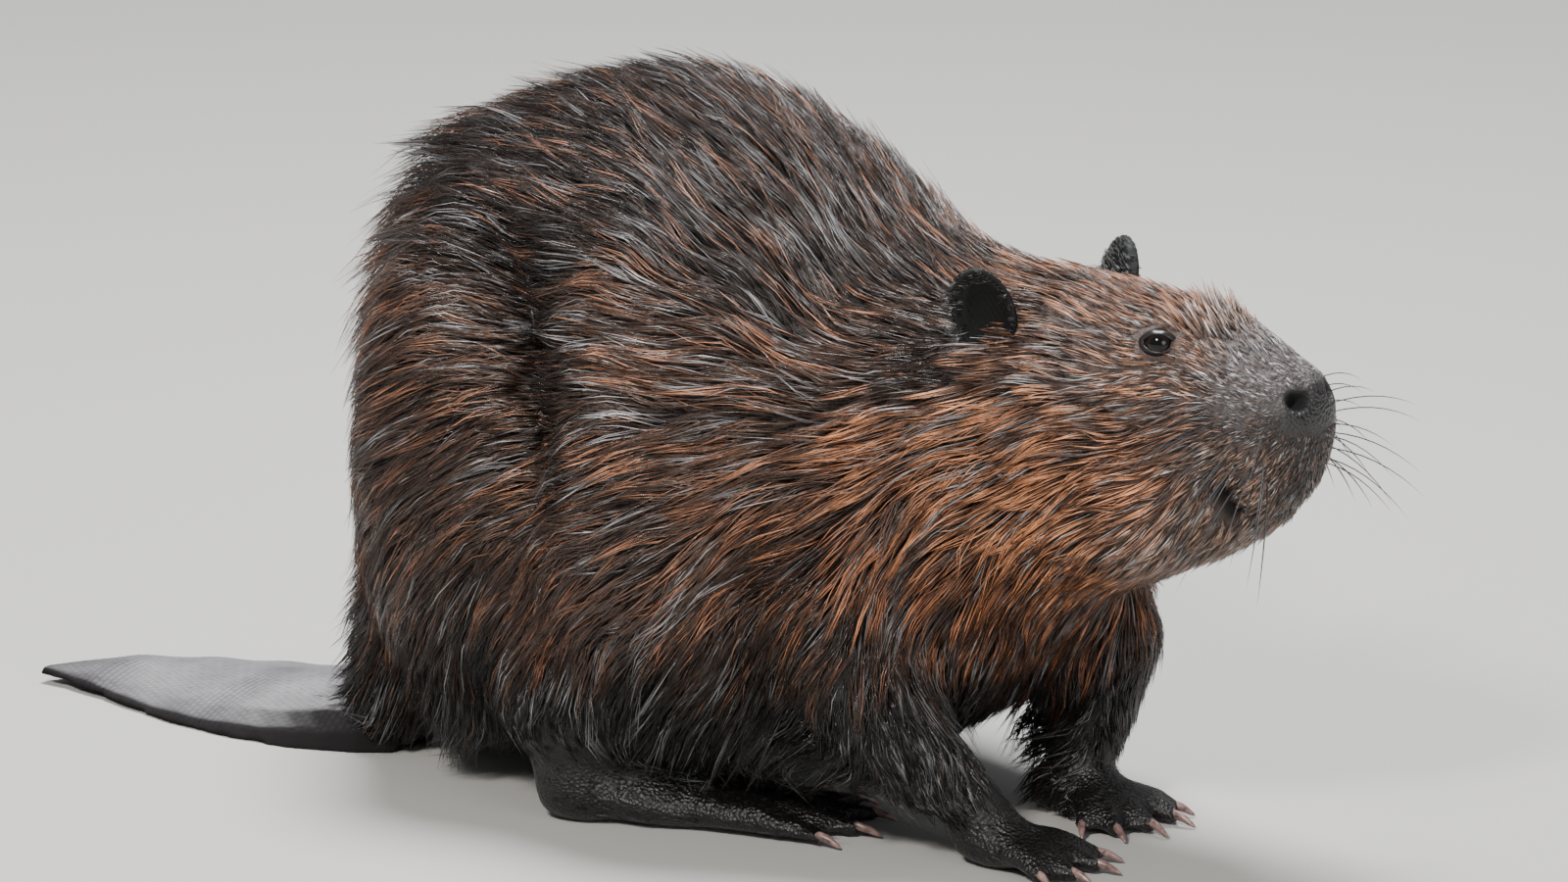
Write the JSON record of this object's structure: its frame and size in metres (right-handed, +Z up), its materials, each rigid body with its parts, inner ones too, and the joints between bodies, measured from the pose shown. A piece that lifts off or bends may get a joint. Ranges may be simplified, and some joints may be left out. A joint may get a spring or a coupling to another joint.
{
  "type": "beaver, still life-size model",
  "caption": "Life-size still model of a wet North American beaver standing hunched on all fours, its flat scaly tail on the floor.",
  "frame": {"origin": "centre of the bounding box in plan, at the floor under the feet", "axes": "+Z up, +X towards the nose, +Y to the animal's left"},
  "size_m": [0.6322, 0.261, 0.31],
  "materials": {
    "brown_coat": "wet guard hair over dense underfur",
    "ruff_coat": "wet guard hair, rusty on cheek and neck",
    "black_coat": "short wet hair",
    "ear_skin": "thin skin with fine hair",
    "nose_skin": "moist bare skin",
    "tail_scales": "scaly hide, satin",
    "claw": "horn, smooth",
    "eye": "glossy, wet"
  },
  "bodies": {
    "root": {"trunk": "brown_coat", "tail_root": "brown_coat", "head": "ruff_coat", "neck": "ruff_coat", "nose": "nose_skin", "tail": "tail_scales", "ear_left": "ear_skin", "eye_left": "eye", "foreleg_left": "black_coat", "hindleg_left": "black_coat", "forefoot_left": "black_coat", "hindfoot_left": "black_coat", "claw_forefoot_left_1": "claw", "claw_forefoot_left_2": "claw", "claw_forefoot_left_3": "claw", "claw_forefoot_left_4": "claw", "claw_forefoot_left_5": "claw", "claw_hindfoot_left_1": "claw", "claw_hindfoot_left_2": "claw", "claw_hindfoot_left_3": "claw", "claw_hindfoot_left_4": "claw", "claw_hindfoot_left_5": "claw", "ear_right": "ear_skin", "eye_right": "eye", "foreleg_right": "black_coat", "hindleg_right": "black_coat", "forefoot_right": "black_coat", "hindfoot_right": "black_coat", "claw_forefoot_right_1": "claw", "claw_forefoot_right_2": "claw", "claw_forefoot_right_3": "claw", "claw_forefoot_right_4": "claw", "claw_forefoot_right_5": "claw", "claw_hindfoot_right_1": "claw", "claw_hindfoot_right_2": "claw", "claw_hindfoot_right_3": "claw", "claw_hindfoot_right_4": "claw", "claw_hindfoot_right_5": "claw"}
  },
  "joints": []
}
